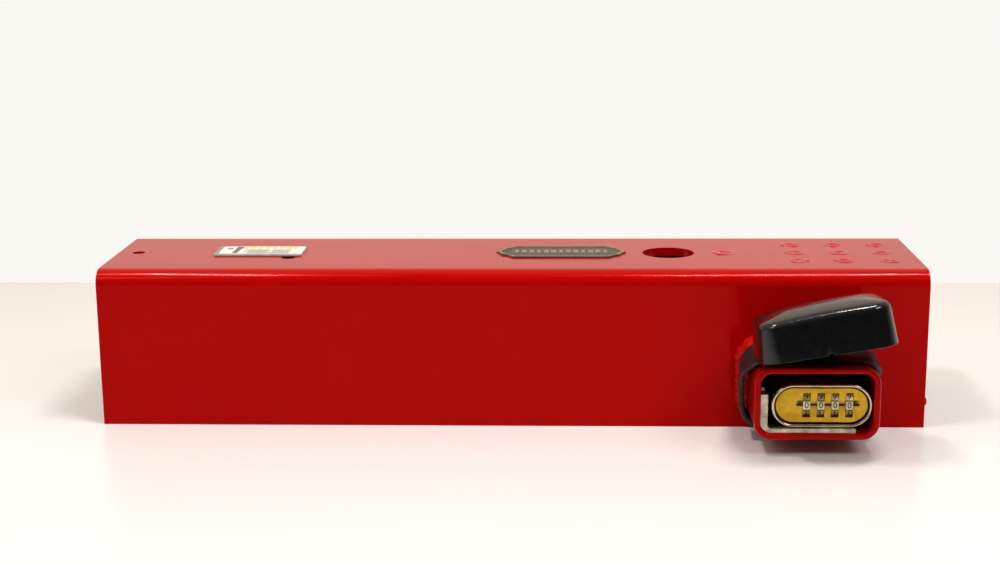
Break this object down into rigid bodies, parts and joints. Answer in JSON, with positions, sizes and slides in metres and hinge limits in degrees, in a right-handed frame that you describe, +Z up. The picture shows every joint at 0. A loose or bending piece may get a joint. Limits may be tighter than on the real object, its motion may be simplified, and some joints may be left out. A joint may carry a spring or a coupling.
{
  "type": "clamp-over equipment lock",
  "caption": "Bent steel U-channel lock with a cross bolt on a removable combination plug, a welded lock tube and a hinged rubber weather cap.",
  "frame": {"origin": "centre of the bounding box at the level of the channel's open edges, on the surface the lock stands on", "axes": "+X along the channel towards the end with the lock tube, -Y out of the mouth of the lock tube, +Z up through the web"},
  "size_m": [0.4465, 0.1672, 0.0867],
  "materials": {
    "red_paint": "gloss enamel",
    "zinc_plate": "grainy zinc plate",
    "bare_steel": "machined",
    "spring_steel": "spring temper",
    "bezel_chrome": "polished",
    "face_brass": "satin",
    "wheel_brass": "satin with black digits",
    "label_foil": "matt printed",
    "badge_metal": "dark anodised with bright lines",
    "boot_rubber": "glossy moulded"
  },
  "bodies": {
    "channel_body": {"channel": "red_paint", "lining_plate": "red_paint", "plug_welds": "red_paint", "lone_plug_weld": "red_paint", "lock_tube": "red_paint", "lock_tube_weld": "red_paint", "strike_bracket": "zinc_plate", "strike_tack_weld": "zinc_plate", "bolt_guide": "bare_steel", "bolt_receiver": "bare_steel", "receiver_weld": "red_paint", "end_rod": "red_paint", "data_label": "label_foil", "badge_plate": "badge_metal", "boot_band": "boot_rubber"},
    "boot_flap": {"boot_strap": "boot_rubber"},
    "boot_cap": {"weather_cap": "boot_rubber"},
    "lock_plug": {"bezel_ring": "bezel_chrome", "face_plate": "face_brass", "lock_case": "bare_steel", "case_back": "bare_steel", "case_screws": "bare_steel", "cross_bolt": "bare_steel", "bolt_nut": "bare_steel", "bolt_pin": "bare_steel", "detent_comb": "spring_steel", "latch_spring": "spring_steel"},
    "dial_1": {"dial_wheel_1": "wheel_brass", "dial_sleeve_1": "bare_steel"},
    "dial_2": {"dial_wheel_2": "wheel_brass", "dial_sleeve_2": "bare_steel"},
    "dial_3": {"dial_wheel_3": "wheel_brass", "dial_sleeve_3": "bare_steel"},
    "dial_4": {"dial_wheel_4": "wheel_brass", "dial_sleeve_4": "bare_steel"},
    "latch": {"locking_spindle": "bare_steel", "latch_bolt": "zinc_plate", "latch_pin": "bare_steel"}
  },
  "joints": [
    {"name": "cap_flip", "type": "hinge", "parent": "channel_body", "child": "boot_flap", "pos_m": [0.1574, -0.05043, 0.04099], "axis": [-0.9944, -0.0808, -0.0674], "range_deg": [-97.47, 0], "deforming": ["boot_strap"]},
    {"name": "cap_shift", "type": "slide", "parent": "boot_flap", "child": "boot_cap", "axis": [-0.9944, -0.0808, -0.0674], "range_m": [0, 0.0053]},
    {"name": "plug_slide", "type": "slide", "parent": "channel_body", "child": "lock_plug", "axis": [0, -1, 0], "range_m": [0, 0.1]},
    {"name": "dial_1_turn", "type": "hinge", "parent": "lock_plug", "child": "dial_1", "pos_m": [0.163, -0.05164, 0.0262], "axis": [1, 0, 0], "continuous": true},
    {"name": "dial_2_turn", "type": "hinge", "parent": "lock_plug", "child": "dial_2", "pos_m": [0.163, -0.05164, 0.0262], "axis": [1, 0, 0], "continuous": true},
    {"name": "dial_3_turn", "type": "hinge", "parent": "lock_plug", "child": "dial_3", "pos_m": [0.163, -0.05164, 0.0262], "axis": [1, 0, 0], "continuous": true},
    {"name": "dial_4_turn", "type": "hinge", "parent": "lock_plug", "child": "dial_4", "pos_m": [0.163, -0.05164, 0.0262], "axis": [1, 0, 0], "continuous": true},
    {"name": "latch_throw", "type": "slide", "parent": "lock_plug", "child": "latch", "axis": [-1, 0, 0], "range_m": [0, 0.0042], "deforming": ["latch_spring"]}
  ],
  "couplings": [
    {"joint": "cap_shift", "follows": "cap_flip", "m_per_rad": -0.0030617}
  ]
}
